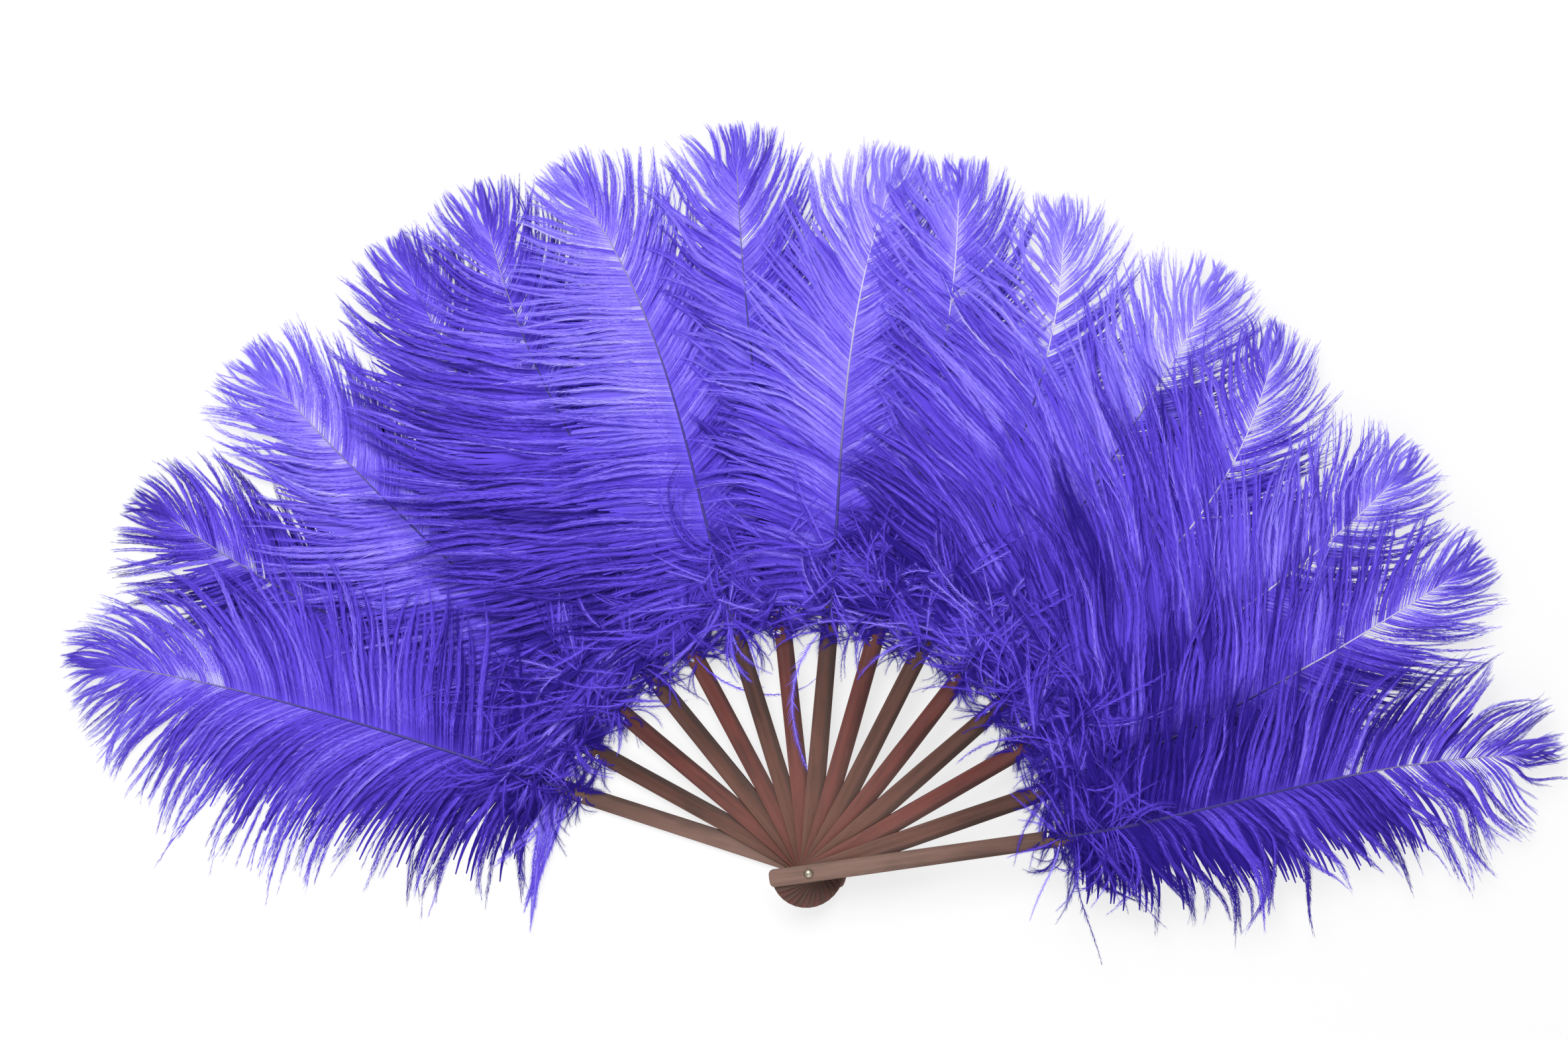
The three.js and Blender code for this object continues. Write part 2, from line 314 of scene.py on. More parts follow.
@dataclass(frozen=True)
class WoodFinish:
    """Stained wood with its grain along the stave, darker along its right edge and towards its outer end as
    painted shade.
    """

    stain: Colour
    dark: Colour
    worn: Colour
    edge_shade: float
    pore: Grain = (26 * MM, 0.45 * MM, 0.6 * MM)
    streak: Grain = (95 * MM, 3.2 * MM, 3 * MM)
    blotch: Grain = (42 * MM, 11 * MM, 11 * MM)
    scuff: Grain = (16 * MM, 0.3 * MM, 0.5 * MM)
    pore_depth: float = 0.12 * MM
    right_shade_band: Range = (1.2 * MM, 5.8 * MM)
    handled: Range = (30 * MM, 150 * MM)
    shaded: Range = (80 * MM, 170 * MM)

    def material(self, index: int) -> bpy.types.Material:
        """Makes one stave's wood.

        Args:
            index: The stave's number from the rear, which sets its grain apart.

        Returns:
            The material.
        """
        wood = Surface(f"stained_wood_{index + 1:02d}", Specular_IOR_Level=0.22)
        angle = stave_angle(index)
        pores = wood.marks(angle, self.pore, 4.0, index * 3.1)
        streaks = wood.marks(angle, self.streak, 3.0, index * 7.7 + 1)
        blotches = wood.marks(angle, self.blotch, 2.0, index * 5.3 + 2)
        reach, across, _ = wood.split(wood.along(angle, (1.0, 1.0, 1.0)))
        # Darker towards the stave's right edge: painted shade where the next stave lies over it.
        right = (across * -1.0).between(*self.right_shade_band)
        blotch_and_shade = (blotches * 0.55 + streaks * 0.45 + right * self.edge_shade * 0.42).between(0.42, 0.74)
        colour = wood.mix(blotch_and_shade, self.stain, self.dark)
        colour = wood.mix(pores.between(0.5, 0.78) * 0.55, colour, self.dark)
        near = 1.0 - reach.between(*self.handled)
        scuffs = wood.marks(angle, self.scuff, 2.0, index * 1.9 + 4)
        colour = wood.mix(scuffs.between(0.62, 0.74) * (near * 0.45 + 0.12), colour, self.worn)
        colour = wood.mix(near * 0.25, colour, self.worn)
        # Darker towards the outer end: painted shade of the flues that lie over it.
        colour = wood.mix(reach.between(*self.shaded) * 0.45, colour, self.dark)
        return wood.finish(colour, 0.46 + pores * 0.2, pores, self.pore_depth)


@dataclass(frozen=True)
class NickelFinish:
    """Worn nickel with fine turning marks."""

    name: str
    bright: Colour
    dull: Colour
    mottle: Grain = (1.6 * MM, 1.6 * MM, 1.6 * MM)
    scratch: Grain = (2.4 * MM, 0.12 * MM, 0.4 * MM)
    scratch_angle: float = 35.0
    scratch_depth: float = 0.03 * MM

    def material(self) -> bpy.types.Material:
        """Makes the metal.

        Returns:
            The material.
        """
        metal = Surface(self.name, Metallic=1.0)
        tarnish = metal.marks(0.0, self.mottle, 4.0)
        scratches = metal.marks(self.scratch_angle, self.scratch, 2.0, 3.0)
        colour = metal.mix(tarnish.between(0.4, 0.7), self.bright, self.dull)
        roughness = tarnish * 0.22 + scratches * 0.14 + 0.1
        return metal.finish(colour, roughness, scratches, self.scratch_depth)


@dataclass(frozen=True)
class FeatherFinish:
    """Dyed barbs: each has its own tone, its depth of dye with painted light and shade in it, is lighter
    along its shaft, as painted shade darkens it away from the shaft, and is paler where it is sheer, as
    painted light that shows through.
    """

    # From deep to sheer, the colours that a barb's tone runs through: the darker ones also stand for painted
    # shade, and crown and sheer for painted light.
    deep: Colour = linear(40, 14, 142)
    body: Colour = linear(100, 72, 226)
    crown: Colour = linear(148, 128, 255)
    sheer: Colour = linear(200, 190, 255)

    def material(self) -> bpy.types.Material:
        """Makes the barbs' material, which reads each barb's tone, its dye with painted light and shade, and
        its cell of the map.

        Returns:
            The material.
        """
        dye = Surface("dyed_barbs", Roughness=0.62, Specular_IOR_Level=0.15, Sheen_Weight=0.1)
        u, v = dye.on_map()
        across = abs((u * MAP_COLUMNS).fraction() * 2.0 - 1.0)
        reach = (v * MAP_ROWS).fraction()
        # Darker away from each barb's shaft: painted shade that rounds the strands.
        light = dye.attribute(TONE) + 0.16 - across * 0.3 - reach.between(0.3, 1.0) * 0.08
        colour = dye.mix(light.between(0.0, 0.5), self.deep, self.body)
        colour = dye.mix(light.between(0.5, 1.0), colour, self.crown)
        colour = dye.mix(light.between(1.0, 1.5), colour, self.sheer)
        return dye.finish(colour)


@dataclass(frozen=True)
class QuillFinish:
    """A rachis dyed dark where it is thick, with lighter edges, and left pale towards its tip; where barbs
    cover it, its dark is also painted shade.
    """

    foot: Colour = linear(40, 26, 120)
    edge: Colour = linear(96, 78, 196)
    pale: Colour = linear(222, 214, 244)

    def material(self) -> bpy.types.Material:
        """Makes the quills' material, which reads each quill's paleness and its row of the map.

        Returns:
            The material.
        """
        quill = Surface("dyed_quill", Specular_IOR_Level=0.5)
        u, v = quill.on_map()
        reach = (v * MAP_ROWS).fraction()
        across = abs(u * 2.0 - 1.0)
        paleness = quill.attribute(TONE)
        colour = quill.mix(across.between(0.5, 0.9) * 0.8, self.foot, self.edge)
        faded = (reach * 2.0 - 1.24 + paleness * 0.84).between(0.0, 1.0)
        colour = quill.mix(faded * (paleness * 0.6 + 0.35), colour, self.pale)
        return quill.finish(colour, 0.5 - reach * 0.15)


@dataclass(frozen=True)
class FloorFinish:
    """A white studio sheet that keeps a faint shadow."""

    sheet: Colour = (0.93, 0.93, 0.935)
    lift: float = 0.72

    def material(self) -> bpy.types.Material:
        """Makes the sheet, which is lifted towards white for what looks straight at it.

        Returns:
            The material.
        """
        floor = Surface("studio_sheet", Roughness=0.9, Specular_IOR_Level=0.0)
        material = floor.finish(self.sheet)
        path = floor.node("ShaderNodeLightPath").outputs
        seen = sum((Value(floor, path[name]) for name in ("Is Glossy Ray", "Is Transmission Ray")),
                   Value(floor, path["Is Camera Ray"]))
        glow = floor.node("ShaderNodeEmission", None, {"Color": (1.0, 1.0, 1.0), "Strength": 1.0}).outputs[0]
        body = floor.shader.outputs[0]
        mixed = floor.node("ShaderNodeMixShader", None, {0: seen * self.lift, 1: body, 2: glow}).outputs[0]
        floor.feed(floor.tree.nodes["Material Output"].inputs["Surface"], mixed)
        return material


def select_only(piece: bpy.types.Object) -> None:
    """Selects one object, makes it active and drops the rest of the selection.

    Args:
        piece: The object.
    """
    bpy.ops.object.select_all(action="DESELECT")
    piece.select_set(True)
    bpy.context.view_layer.objects.active = piece


def linked(name: str, data: bpy.types.ID) -> bpy.types.Object:
    """Adds an object to the scene.

    Args:
        name: The object's name.
        data: Its mesh, lamp or camera.

    Returns:
        The object.
    """
    made = bpy.data.objects.new(name, data)
    bpy.context.scene.collection.objects.link(made)
    return made


def place_piece(piece: bpy.types.Object, body: str, slot: str, *nodes: str) -> None:
    """Hands a finished piece to the frame.

    Args:
        piece: The piece.
        body: The body that it rides on.
        slot: Not used.
        *nodes: The nodes that it stands for.
    """
    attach(piece, body)
    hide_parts(*nodes)
    LOG.info("%s: %d faces, rides on %s", piece.name, len(piece.data.polygons), body)


def body_name(index: int) -> str:
    """Gives the body of a stave, counted from the rear guard."""
    guards = {0: "rear_guard_arm", STAVE_COUNT - 1: "front_guard_arm"}
    return guards.get(index, f"stave_{index + 1:02d}_arm")


@dataclass
class Stave:
    """One wooden stave, with its edges worn round."""

    index: int
    finish: WoodFinish
    slot: str
    edge: float = 0.35 * MM
    flat_angle: float = math.radians(2.0)
    worn_angle: float = math.radians(35.0)
    smooth_angle: float = math.radians(32.0)

    @property
    def node(self) -> str:
        """Gives the name of the stave's node."""
        return body_name(self.index).removesuffix("_arm")

    def build(self) -> bpy.types.Object:
        """Copies the stave's solid, merges it and rounds its edges.

        Returns:
            The stave.
        """
        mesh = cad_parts[self.node].data.copy()
        mesh.materials.clear()
        stave = linked(f"{self.node}_wood", mesh)
        select_only(stave)
        bpy.ops.object.mode_set(mode="EDIT")
        bpy.ops.mesh.select_all(action="SELECT")
        bpy.ops.mesh.remove_doubles(threshold=MERGE)
        bpy.ops.mesh.dissolve_limited(angle_limit=self.flat_angle)
        bpy.ops.object.mode_set(mode="OBJECT")
        rounding = stave.modifiers.new("worn_edges", "BEVEL")
        rounding.width = self.edge
        rounding.segments = 2
        rounding.limit_method = "ANGLE"
        rounding.angle_limit = self.worn_angle
        bpy.ops.object.modifier_apply(modifier=rounding.name)
        bpy.ops.object.shade_smooth_by_angle(angle=self.smooth_angle)
        mesh.materials.append(self.finish.material(self.index))
        return stave

    def dress(self) -> None:
        """Builds the stave and hands it to the frame."""
        place_piece(self.build(), body_name(self.index), self.slot, self.node)


@dataclass
class Turned:
    """One turned metal piece on the fan's axis, from its profile of radii and heights."""

    node: str
    finish: NickelFinish
    profile: Profile
    turns: int = 64
    smooth_angle: float = math.radians(40.0)

    def build(self) -> bpy.types.Object:
        """Spins the piece from its profile and closes its seam and poles.

        Returns:
            The piece.
        """
        mesh = bpy.data.meshes.new(f"{self.node}_metal")
        points = [(radius, 0.0, height) for radius, height in self.profile]
        mesh.from_pydata(points, [(corner, corner + 1) for corner in range(len(points) - 1)], [])
        piece = linked(mesh.name, mesh)
        select_only(piece)
        bpy.ops.object.mode_set(mode="EDIT")
        bpy.ops.mesh.select_all(action="SELECT")
        bpy.ops.mesh.spin(steps=self.turns, angle=2 * math.pi, center=(0, 0, 0), axis=(0, 0, 1))
        bpy.ops.mesh.select_all(action="SELECT")
        bpy.ops.mesh.remove_doubles(threshold=MERGE)
        bpy.ops.mesh.normals_make_consistent(inside=False)
        bpy.ops.object.mode_set(mode="OBJECT")
        bpy.ops.object.shade_smooth_by_angle(angle=self.smooth_angle)
        mesh.materials.append(self.finish.material())
        return piece

    def dress(self) -> None:
        """Builds the piece and hands it to the frame."""
        place_piece(self.build(), "rear_guard_arm", "rivet_metal", self.node)


@dataclass
class Rivet:
    """The pin with its domed head, its peened head and the two washers."""

    pin: float = 1.7 * MM
    head: float = 2.7 * MM
    head_rim: float = 0.4 * MM
    dome: float = 1.4 * MM
    dome_steps: int = 12
    peened: float = 2.9 * MM
    peened_height: float = 0.9 * MM
    peened_round: float = 0.3 * MM
    bore: float = 2.0 * MM
    washer: float = 3.4 * MM
    washer_round: float = 0.12 * MM
    bright: NickelFinish = NickelFinish("worn_nickel", linear(214, 204, 186), linear(150, 136, 118))
    dull: NickelFinish = NickelFinish("dull_washer", linear(150, 138, 124), linear(88, 76, 66))

    def pin_profile(self) -> Profile:
        """Follows the pin from the middle of its peened head round to the top of its dome.

        Returns:
            Its radii and heights.
        """
        low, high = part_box("rivet")
        neck = high.z - self.dome - self.head_rim
        shoulder = low.z + self.peened_height
        profile = [(0.0, low.z), (self.peened - self.peened_round, low.z),
                   (self.peened, low.z + self.peened_round), (self.peened, shoulder), (self.pin, shoulder),
                   (self.pin, neck), (self.head, neck)]
        for step in range(self.dome_steps):
            turn = math.pi / 2 * step / self.dome_steps
            profile.append((self.head * math.cos(turn), neck + self.head_rim + self.dome * math.sin(turn)))
        return profile + [(0.0, high.z)]

    def ring_profile(self, node: str) -> Profile:
        """Follows a washer round, from its bore and back to it.

        Args:
            node: The washer's node.

        Returns:
            Its radii and heights.
        """
        low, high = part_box(node)
        inset = self.washer - self.washer_round
        return [(self.bore, low.z), (inset, low.z), (self.washer, low.z + self.washer_round),
                (self.washer, high.z - self.washer_round), (inset, high.z), (self.bore, high.z),
                (self.bore, low.z)]

    def dress(self) -> None:
        """Builds the three pieces and hands them to the frame."""
        Turned("rivet", self.bright, self.pin_profile()).dress()
        for node in ("front_washer", "rear_washer"):
            Turned(node, self.dull, self.ring_profile(node)).dress()


class Side(Enum):
    """The two sides of a plume, looking from the rivet to its tip."""

    LEFT = 1
    RIGHT = -1


@dataclass(frozen=True)
class Vane:
    """How the barbs of one side of a plume lie.

    Splay, bend and sweep turn them, in degrees. Length, tilt, wander and gather are shares. A strand has
    about so many barbs, tone is added to the barbs' tone, painted light where it is above 0 and painted
    shade below, and thin is the share that is missing.
    """

    splay: float = 0.0
    bend: float = 18.0
    length: float = 1.0
    tilt: float = 0.07
    wander: float = 1.0
    gather: float = 0.6
    strand: int = 5
    tone: float = 0.0
    thin: float = 0.0
    sweep: float = 38.0


@dataclass(frozen=True)
class Tuft:
    """One kind of loose flues round a plume's foot, in clumps: lengths in mm, turns in degrees.

    A range is the lowest and the highest, and a spread is how far single flues stray from their clump.
    Those that head back further than backward are shorter.
    """

    count: int
    start: Range
    heading: Range
    length: Range
    rise: Range
    tone: Range
    curl: float
    fringe: float
    start_spread: float = 3.0
    heading_spread: float = 8.0
    curl_spread: float = 10.0
    trim: Range = (0.7, 1.1)
    backward: float = 100.0
    backward_trim: float = 0.6


@dataclass(frozen=True)
class Stray:
    """Loose flues that lie apart, one or a tuft: start and length in mm, heading and curl in degrees.

    A spread is how far the flues of a tuft differ, and the length's is a share of it.
    """

    start: float
    heading: float
    length: float
    curl: float = 0.0
    fringe: float = 5.0
    count: int = 1
    start_spread: float = 4.0
    heading_spread: float = 7.0
    length_spread: float = 0.12
    curl_spread: float = 9.0


@dataclass(frozen=True)
class Growth:
    """What sets one plume apart from the others.

    Bow turns its upper part and lean its tip off the stave's line, in degrees seen from the rivet, and size
    is a share. Its rachis lies on top of its barbs from the share shown on. Its dye is deeper at the foot,
    by foot.
    """

    bow: float
    lean: float
    size: float
    left: Vane
    right: Vane
    paleness: float = 0.5
    tone: float = 0.5
    strays: tuple[Stray, ...] = ()
    shown: float = 0.0
    foot: float = 0.25

    def vane(self, side: Side) -> Vane:
        """Gives the vane on one side."""
        return self.left if side is Side.LEFT else self.right


@dataclass(frozen=True)
class Fringe:
    """What one kind of barb carries: a tapering shaft, and barbules that lean off it in degrees.

    Stretch is how much of the way to the next barbule the base of each one takes, and root is the share of
    its width that the shaft starts with.
    """

    shaft: float
    taper: float
    root: float
    barbules: int = 0
    lean: float = 0.0
    stretch: float = 1.0
    fall: float = -18.0
    fall_spread: float = 24.0


@dataclass
class Barbs:
    """Barbs of one kind: points by barb and along it, and each one's barbule length, tone with painted light
    and shade, and bare root.
    """

    fringe: Fringe
    runs: np.ndarray
    length: np.ndarray
    tone: np.ndarray
    bare: np.ndarray

    def tones(self, along: np.ndarray) -> np.ndarray:
        """Gives the tone along the barbs, dye with painted light and shade, paler at a bare root."""
        return self.tone[:, None] + self.bare[:, None] * fading(0.01, 0.09, along)


@dataclass(frozen=True)
class Gathering:
    """How the barbs of one vane gather, each with the numbers of its strand and its lock.

    Share is a barb's place along the vane and seat its place across its strand. Raised ones lie on top, and
    free is how loosely a barb lies, from 1 at the foot to 0 at the tip.
    """

    share: np.ndarray
    strand: np.ndarray
    lock: np.ndarray
    raised: np.ndarray
    seat: np.ndarray
    free: np.ndarray


VANE_FRINGE = Fringe(0.4 * MM, 0.8, 0.8, 38, 9.0, 1.25)
FLUE_FRINGE = Fringe(0.7 * MM, 0.8, 1.0, 60, 20.0, 0.9)
STRAY_FRINGE = Fringe(0.7 * MM, 0.7, 1.0, 110, 22.0, 1.0)
DOWN_FRINGE = Fringe(4.6 * MM, 1.0, 0.9)
# The short flues lie low and are toned darker, painted shade under the bold and high flues, which are toned
# lighter, painted light on their tops.
BOLD_FLUES = Tuft(52, (176, 226), (20, 150), (48, 100), (4.0, 11.0), (0.0, 0.75), 50, 6.5)
SHORT_FLUES = Tuft(140, (168, 204), (40, 140), (20, 46), (0.5, 4.5), (-0.25, 0.25), 60, 7.0)
HIGH_FLUES = Tuft(34, (182, 236), (30, 155), (40, 80), (6.0, 12.0), (0.0, 0.7), 60, 6.0)


@dataclass(frozen=True)
class Ruffle:
    """How far locks, strands and single barbs stray from their plain run, in mm, and in tone; the darker
    edges of a strand are painted shade.

    A trim is a share of their full length, and the foot's gain is how much more they swing there.
    """

    lock_trim: Range = (0.9, 1.04)
    strand_trim: Range = (0.86, 1.0)
    raised_trim: Range = (0.5, 0.95)
    barb_trim: Range = (0.88, 1.02)
    lock_swing: float = 8.5
    strand_swing: float = 3.8
    raised_swing: float = 8.0
    foot_gain: float = 0.7
    hook: float = 2.0
    hook_spread: float = 6.0
    lock_wave: float = 2.6
    strand_wave: float = 1.1
    barb_shake: float = 0.35
    tip_shake: float = 0.6
    lock_lift: float = 1.0
    strand_lift: float = 0.8
    barb_lift: float = 0.25
    raised_lift: Range = (1.2, 2.8)
    lock_tone: float = 0.07
    strand_tone: float = 0.13
    barb_tone: float = 0.1
    strand_edge_shade: float = 0.34


@dataclass
class Plume:
    """One ostrich plume: its rachis, the barbs on both sides and the loose flues at the foot."""

    index: int
    growth: Growth
    barb_finish: bpy.types.Material
    quill_finish: bpy.types.Material
    foot: float = 174 * MM
    vane_foot: float = 187 * MM
    stave_end: float = 190 * MM
    common_length: float = 335 * MM
    tip_barb: float = 25.5 * MM
    sag: float = 0.5
    shaft_share: float = 0.3
    quill_width: float = 3.0 * MM
    quill_tip_width: float = 0.6 * MM
    quill_taper: float = 0.75
    quill_flatness: float = 0.24
    quill_lift: float = 1.6 * MM
    quill_dip: float = 2.6 * MM
    barb_count: int = 505
    barb_steps: int = 11
    crowding: float = 1.4
    barbule_length: float = 11 * MM
    barbule_start: float = 0.02
    barb_arch: float = 1.8 * MM
    barb_droop: float = 3.5 * MM
    root_dip: float = 0.4 * MM
    sway_places: int = 9
    sway: float = 7.0
    full_sweep_angle: float = 46.0
    strand_crown: float = 2.2 * MM
    raised_share: float = 0.3
    ruffle: Ruffle = Ruffle()
    down_count: int = 170
    down_trim: Range = (0.54, 0.8)
    down_depth: Range = (1.6, 3.0)
    down_shade: Range = (0.05, 0.35)
    common_tone: float = 0.66
    stray_rise: Range = (2.0, 8.0)
    stray_tone: Range = (0.45, 0.9)
    flue_shake: float = 0.1
    flue_sink: Range = (-4.0, 2.0)
    floor: float = 0.5 * MM
    ceiling: float = 53 * MM
    places: tuple[float, ...] = (0.0, 0.1, 0.25, 0.5, 0.75, 0.88, 0.96, 1.0)
    barb_lengths: tuple[float, ...] = (74, 100, 118, 128, 110, 76, 49, 31)
    barb_angles: tuple[float, ...] = (88, 70, 60, 58, 58, 50, 34, 2)
    random: np.random.Generator = field(init=False)
    level: float = field(init=False)
    middle: float = field(init=False)

    def __post_init__(self) -> None:
        """Seeds the plume's own random draws and reads its stave's level."""
        self.random = np.random.default_rng(FIRST_SEED + self.index)
        low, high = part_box(body_name(self.index).removesuffix("_arm"))
        self.level = low.z
        self.middle = (low.z + high.z) / 2.0

    @property
    def node(self) -> str:
        """Gives the name of the plume's node."""
        return f"plume_{self.index + 1:02d}"

    @property
    def tip(self) -> float:
        """Gives the distance from the rivet to the tip of the rachis."""
        return self.stave_end + self.common_length * self.growth.size - self.tip_barb

    def resting_height(self, flat: np.ndarray) -> np.ndarray:
        """Gives the height of the plume's sagging layer at points seen from above."""
        past = np.maximum(np.linalg.norm(flat, axis=-1) - self.stave_end, 0.0) / self.common_length
        return self.middle - self.level * self.sag * past

    def rachis(self, share: np.ndarray) -> tuple[np.ndarray, np.ndarray]:
        """Follows the rachis.

        Args:
            share: Shares of the way from the quill's foot to the tip.

        Returns:
            The points there, and the headings in radians.
        """
        third = (self.tip - self.foot) / 3
        reaches = np.array([self.foot, self.foot + third, self.tip - third, self.tip])
        turns = np.radians(stave_angle(self.index) + np.array([0.0, 0.0, self.growth.bow, self.growth.lean]))
        foot, lower, upper, tip = steps_along(turns, reaches)
        way = share[..., None]
        back = 1.0 - way
        flat = back ** 3 * foot + 3 * way * back ** 2 * lower + 3 * way ** 2 * back * upper + way ** 3 * tip
        ahead = back ** 2 * (lower - foot) + 2 * way * back * (upper - lower) + way ** 2 * (tip - upper)
        shown = eased(self.growth.shown, self.growth.shown + 0.1, share)
        lift = self.quill_lift * shown - self.quill_dip * (1.0 - shown)
        height = self.resting_height(flat) + lift * eased(0.05, 0.16, share)
        return points_at(flat, height), np.arctan2(ahead[..., 1], ahead[..., 0])

    def plain_runs(self, side: Side, roots: int = 96, steps: int = 25) -> np.ndarray:
        """Lays out the run of the barbs on one side, before they gather into strands.

        Args:
            side: The side.
            roots: Number of places along the rachis.
            steps: Number of points along a barb.

        Returns:
            Points by place along the rachis and along the barb.
        """
        vane = self.growth.vane(side)
        share = np.linspace(0.0, 1.0, roots)
        start = (self.vane_foot - self.foot) / (self.tip - self.foot)
        points, heading = self.rachis(start + share * (1.0 - start))
        reach = np.linspace(0.0, 1.0, steps)
        below_tip = fading(0.66, 0.96, share)
        length = np.interp(share, self.places, self.barb_lengths) * MM * self.growth.size
        length = length * (1.0 + (vane.length - 1.0) * fading(0.45, 0.85, share))
        angle = np.interp(share, self.places, self.barb_angles) + vane.splay * below_tip
        sways = self.random.normal(0.0, self.sway, self.sway_places)
        sway = np.interp(share, np.linspace(0.0, 1.0, self.sway_places), sways) * vane.wander
        sweep = vane.sweep * eased(0.3, 0.8, share) * np.minimum(angle / self.full_sweep_angle, 1.0)
        turn = np.radians((vane.bend + sway) * (0.2 + 0.8 * below_tip) - sweep)
        bearing = heading[:, None] + side.value * (np.radians(angle)[:, None] + turn[:, None] * reach ** 0.8)
        away = steps_along(bearing, (length / (steps - 1))[:, None])
        run = np.cumsum((away[:, 1:] + away[:, :-1]) / 2, axis=1)
        flat = points[:, None, :2] + np.concatenate([np.zeros((roots, 1, 2)), run], axis=1)
        lateral = length[:, None] * reach * np.sin(np.radians(angle))[:, None]
        arch = self.barb_arch * np.sin(np.pi * reach ** 0.7)
        rise = vane.tilt * lateral + arch - self.barb_droop * reach ** 2
        root_lift = points[:, 2] - self.resting_height(points[:, :2]) - self.root_dip
        return points_at(flat, self.resting_height(flat) + root_lift[:, None] + rise)

    def gathering(self, vane: Vane) -> Gathering:
        """Spaces a vane's barbs along it, and draws the strands and locks that they fall in.

        Args:
            vane: The vane.

        Returns:
            How the barbs gather.
        """
        count = self.barb_count
        even = (np.arange(count) + self.random.uniform(0.25, 0.75, count)) / count
        share = 1.0 - (1.0 - even) ** self.crowding
        strand = self.grouped(count, max(2, vane.strand - 2), vane.strand + 2)
        lock = self.grouped(strand[-1] + 1, 2, 5)[strand]
        raised = (self.random.random(strand[-1] + 1) < self.raised_share)[strand]
        return Gathering(share, strand, lock, raised, self.seats(strand), fading(0.55, 0.95, share))

    def trims(self, barbs: Gathering) -> np.ndarray:
        """Draws the barbs' lengths, as shares of their full ones.

        Args:
            barbs: How the barbs gather.

        Returns:
            The shares.
        """
        ruffle = self.ruffle
        trim = self.ranged(barbs.lock, *ruffle.lock_trim) * self.ranged(barbs.strand, *ruffle.strand_trim)
        trim = trim * np.where(barbs.raised, self.ranged(barbs.strand, *ruffle.raised_trim), 1.0)
        trim = trim * (1.0 - 0.1 * np.abs(self.seats(barbs.lock)) - 0.12 * np.abs(barbs.seat))
        trim = 1.0 - (1.0 - trim) * (0.3 + 0.7 * barbs.free)
        return trim * self.random.uniform(*ruffle.barb_trim, len(trim))

    def drawn_in(self, barbs: Gathering, along: np.ndarray, gather: float) -> np.ndarray:
        """Draws the barbs in to the middle of their strands, and the strands' ends to that of their locks.

        Args:
            barbs: How the barbs gather.
            along: How far along its barb each point is, from 0 to 1.
            gather: How much of the way the strands' ends go.

        Returns:
            The place along the vane whose plain run each point follows, from 0 to 1.
        """
        share = barbs.share
        strand_share = self.group_means(share, barbs.strand)
        pull = 0.45 * eased(0.06, 0.35, along) + 0.42 * eased(0.5, 1.0, along)
        pull = pull * (0.15 + 0.85 * barbs.free)[:, None]
        where = share[:, None] + (strand_share - share)[:, None] * pull
        to_lock = self.group_means(share, barbs.lock) - strand_share
        where = where + (to_lock * gather * barbs.free)[:, None] * eased(0.45, 1.0, along)
        return np.clip(where, 0.0, 1.0)

    def strayed(self, barbs: Gathering, along: np.ndarray, wander: float) -> np.ndarray:
        """Draws how far the barbs swing, hook and wave to the left of their runs.

        Args:
            barbs: How the barbs gather.
            along: How far along its barb each point is, from 0 to 1.
            wander: How freely strands and locks do so, as a share.

        Returns:
            The distances in millimetres, by barb and along it.
        """
        ruffle = self.ruffle
        draw = self.random
        strand, lock = barbs.strand, barbs.lock
        swing = self.spread(lock, ruffle.lock_swing) + self.spread(strand, ruffle.strand_swing)
        swing = swing + barbs.raised * self.spread(strand, ruffle.raised_swing)
        swing = swing * (1.0 + ruffle.foot_gain * fading(0.03, 0.2, barbs.share))
        hook = self.spread(lock, ruffle.hook_spread, ruffle.hook)
        phase = self.ranged(lock, 0.0, 2 * np.pi)[:, None]
        ripple = self.ranged(strand, 0.0, 2 * np.pi)[:, None]
        wave = ruffle.lock_wave * np.sin(phase + along * 6.0)
        wave = (wave + ruffle.strand_wave * np.sin(ripple + along * 10.0)) * eased(0.05, 0.4, along)
        shift = (swing[:, None] * along ** 2 + hook[:, None] * along ** 4 + wave) * wander
        shift = shift + draw.normal(0.0, ruffle.barb_shake, len(strand))[:, None] * eased(0.1, 0.5, along)
        return shift + draw.normal(0.0, ruffle.tip_shake, len(strand))[:, None] * eased(0.55, 1.0, along)

    def lifted(self, barbs: Gathering, along: np.ndarray) -> np.ndarray:
        """Draws how far the barbs rise off their runs, with each strand crowned along its middle.

        Args:
            barbs: How the barbs gather.
            along: How far along its barb each point is, from 0 to 1.

        Returns:
            The heights in metres, by barb and along it.
        """
        ruffle = self.ruffle
        lift = self.spread(barbs.lock, ruffle.lock_lift) + self.spread(barbs.strand, ruffle.strand_lift)
        lift = lift + self.random.normal(0.0, ruffle.barb_lift, len(lift))
        lift = lift + barbs.raised * self.ranged(barbs.strand, *ruffle.raised_lift)
        crown = self.strand_crown * (1.0 - barbs.seat ** 2)[:, None] * eased(0.06, 0.35, along)
        return lift[:, None] * MM * eased(0.0, 0.6, along) + crown * (1.0 - 0.7 * along)

    def tones_with_shade(self, barbs: Gathering, vane: Vane) -> np.ndarray:
        """Draws the barbs' tones, with each strand darker along its edges as painted shade.

        Args:
            barbs: How the barbs gather.
            vane: Their vane.

        Returns:
            The tones.
        """
        ruffle = self.ruffle
        tone = self.dye(vane, barbs.share) + self.spread(barbs.lock, ruffle.lock_tone)
        tone = tone + self.spread(barbs.strand, ruffle.strand_tone)
        tone = tone + self.random.normal(0.0, ruffle.barb_tone, len(tone))
        # Each strand is darker along its edges: painted shade.
        return tone - ruffle.strand_edge_shade * barbs.seat ** 2

